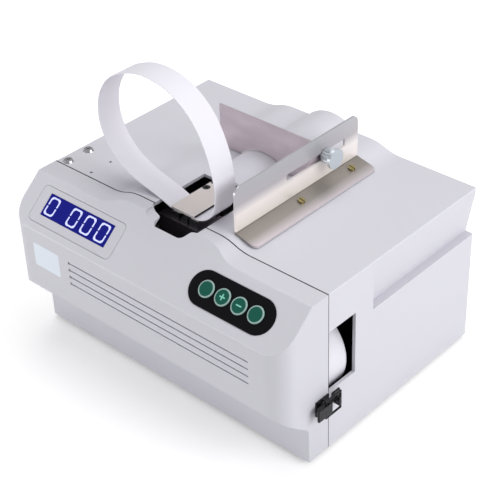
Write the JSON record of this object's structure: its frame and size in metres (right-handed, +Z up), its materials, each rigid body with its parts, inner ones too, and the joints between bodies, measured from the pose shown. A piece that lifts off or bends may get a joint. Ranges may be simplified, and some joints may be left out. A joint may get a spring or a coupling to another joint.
{
  "type": "banknote strapping machine",
  "caption": "Desktop machine that wraps a paper band round a bundle of banknotes, with a sloped display and key panel, a band loop, a sheet-steel fence and a side latch.",
  "frame": {"origin": "middle of the base plate's underside; the rubber feet reach 3 mm below it", "axes": "+X along the front to the operator's right, +Y from the front to the rear, +Z up"},
  "size_m": [0.2672, 0.214, 0.232],
  "materials": {
    "cover_paint": "satin",
    "housing_plastic": "satin",
    "plated_steel": "satin",
    "black_rubber": "matte",
    "chromed_steel": "polished",
    "bezel_plastic": "satin",
    "display_window": "polished",
    "circuit_board": "satin",
    "black_overlay": "satin",
    "key_plastic": "satin",
    "black_plastic": "satin",
    "band_paper": "matte",
    "bright_steel": "satin",
    "motor_steel": "satin",
    "bush_brass": "satin",
    "heater_aluminium": "satin",
    "gear_plastic": "satin",
    "tongue_steel": "satin",
    "dark_steel": "satin",
    "fence_steel": "polished",
    "zinc_steel": "satin",
    "black_steel": "satin",
    "rocker_plastic": "satin",
    "transformer_steel": "satin"
  },
  "bodies": {
    "casing": {"main_cover": "cover_paint", "front_housing": "housing_plastic", "base_plate": "plated_steel", "rubber_feet": "black_rubber", "corner_bracket": "plated_steel", "cover_screws": "chromed_steel", "lcd_bezel": "bezel_plastic", "lcd_window": "display_window", "lcd_board": "circuit_board", "keypad_overlay": "black_overlay", "keypad_board": "circuit_board", "reel_stand": "plated_steel", "feed_bracket": "plated_steel", "feed_motor": "motor_steel", "band_feed": "band_paper", "feed_guide": "plated_steel", "head_frame": "bright_steel", "camshaft_bushes": "bush_brass", "motor_stand": "plated_steel", "drive_motor": "motor_steel", "guide_rods": "bright_steel", "band_loop": "band_paper", "fence_bracket": "fence_steel", "fence_screws": "bush_brass", "latch_base": "black_steel", "latch_keeper": "black_steel", "mains_inlet": "black_plastic", "switch_housing": "black_plastic", "control_board": "circuit_board", "transformer": "transformer_steel"},
    "key_1": {"key_1": "key_plastic"},
    "key_2": {"key_2": "key_plastic"},
    "key_3": {"key_3": "key_plastic"},
    "key_4": {"key_4": "key_plastic"},
    "reel": {"reel_hub": "black_plastic", "paper_roll": "band_paper"},
    "feed_roller": {"feed_roller": "black_rubber"},
    "pinch_roller": {"pinch_roller": "bright_steel"},
    "left_gripper": {"left_gripper": "bright_steel"},
    "heater_cutter": {"heater_cutter": "heater_aluminium"},
    "right_gripper": {"right_gripper": "bright_steel"},
    "cams": {"camshaft": "bright_steel", "cam_gear": "gear_plastic"},
    "pinion": {"motor_pinion": "bush_brass"},
    "tongue": {"tongue_plate": "tongue_steel", "tongue_carriage": "heater_aluminium", "tongue_screws": "dark_steel"},
    "stop": {"stop_plate": "fence_steel"},
    "clamp": {"clamp_screw": "zinc_steel"},
    "lever": {"latch_lever": "black_steel"},
    "bail": {"latch_bail": "black_steel"},
    "rocker": {"switch_rocker": "rocker_plastic"}
  },
  "joints": [
    {"name": "key_1_press", "type": "slide", "parent": "casing", "child": "key_1", "axis": [0, 0.6498, -0.7601], "range_m": [0, 0.0006], "stiffness_N_per_m": 800, "springref_m": -0.0006},
    {"name": "key_2_press", "type": "slide", "parent": "casing", "child": "key_2", "axis": [0, 0.6498, -0.7601], "range_m": [0, 0.0006], "stiffness_N_per_m": 800, "springref_m": -0.0006},
    {"name": "key_3_press", "type": "slide", "parent": "casing", "child": "key_3", "axis": [0, 0.6498, -0.7601], "range_m": [0, 0.0006], "stiffness_N_per_m": 800, "springref_m": -0.0006},
    {"name": "key_4_press", "type": "slide", "parent": "casing", "child": "key_4", "axis": [0, 0.6498, -0.7601], "range_m": [0, 0.0006], "stiffness_N_per_m": 800, "springref_m": -0.0006},
    {"name": "reel_turn", "type": "hinge", "parent": "casing", "child": "reel", "pos_m": [0.0885, -0.056, 0.058], "axis": [0, 1, 0], "continuous": true},
    {"name": "feed_turn", "type": "hinge", "parent": "casing", "child": "feed_roller", "pos_m": [0.037, -0.056, 0.098], "axis": [0, 1, 0], "continuous": true},
    {"name": "pinch_turn", "type": "hinge", "parent": "casing", "child": "pinch_roller", "pos_m": [0.037, -0.056, 0.1126], "axis": [0, 1, 0], "continuous": true},
    {"name": "left_gripper_lift", "type": "slide", "parent": "casing", "child": "left_gripper", "axis": [0, 0, 1], "range_m": [0, 0.0025], "stiffness_N_per_m": 300, "springref_m": -0.002},
    {"name": "heater_cutter_lift", "type": "slide", "parent": "casing", "child": "heater_cutter", "axis": [0, 0, 1], "range_m": [0, 0.0025], "stiffness_N_per_m": 300, "springref_m": -0.002},
    {"name": "right_gripper_lift", "type": "slide", "parent": "casing", "child": "right_gripper", "axis": [0, 0, 1], "range_m": [0, 0.0025], "stiffness_N_per_m": 300, "springref_m": -0.002},
    {"name": "cams_turn", "type": "hinge", "parent": "casing", "child": "cams", "pos_m": [-0.004, -0.056, 0.08], "axis": [1, 0, 0], "continuous": true},
    {"name": "pinion_turn", "type": "hinge", "parent": "casing", "child": "pinion", "pos_m": [-0.04, -0.026, 0.08], "axis": [1, 0, 0], "continuous": true},
    {"name": "tongue_slide", "type": "slide", "parent": "casing", "child": "tongue", "axis": [0, 1, 0], "range_m": [0, 0.022]},
    {"name": "stop_slide", "type": "slide", "parent": "casing", "child": "stop", "axis": [0, 1, 0], "range_m": [-0.025, 0.018]},
    {"name": "clamp_turn", "type": "hinge", "parent": "stop", "child": "clamp", "pos_m": [0.05, 0.0286, 0.1542], "axis": [1, 0, 0], "continuous": true},
    {"name": "lever_swing", "type": "hinge", "parent": "casing", "child": "lever", "pos_m": [0.135, -0.0775, 0.043], "axis": [0, 0, 1], "range_deg": [0, 100]},
    {"name": "bail_swing", "type": "hinge", "parent": "lever", "child": "bail", "pos_m": [0.1356, -0.0809, 0.043], "axis": [0, 0, 1], "range_deg": [-125, 0]},
    {"name": "rocker_tip", "type": "hinge", "parent": "casing", "child": "rocker", "pos_m": [-0.052, 0.09, 0.034], "axis": [1, 0, 0], "range_deg": [-16, 0]}
  ],
  "couplings": [
    {"joint": "pinch_turn", "follows": "feed_turn", "ratio": -1.3333},
    {"joint": "pinion_turn", "follows": "cams_turn", "ratio": -4},
    {"joint": "bail_swing", "follows": "lever_swing", "ratio": -1.25}
  ]
}
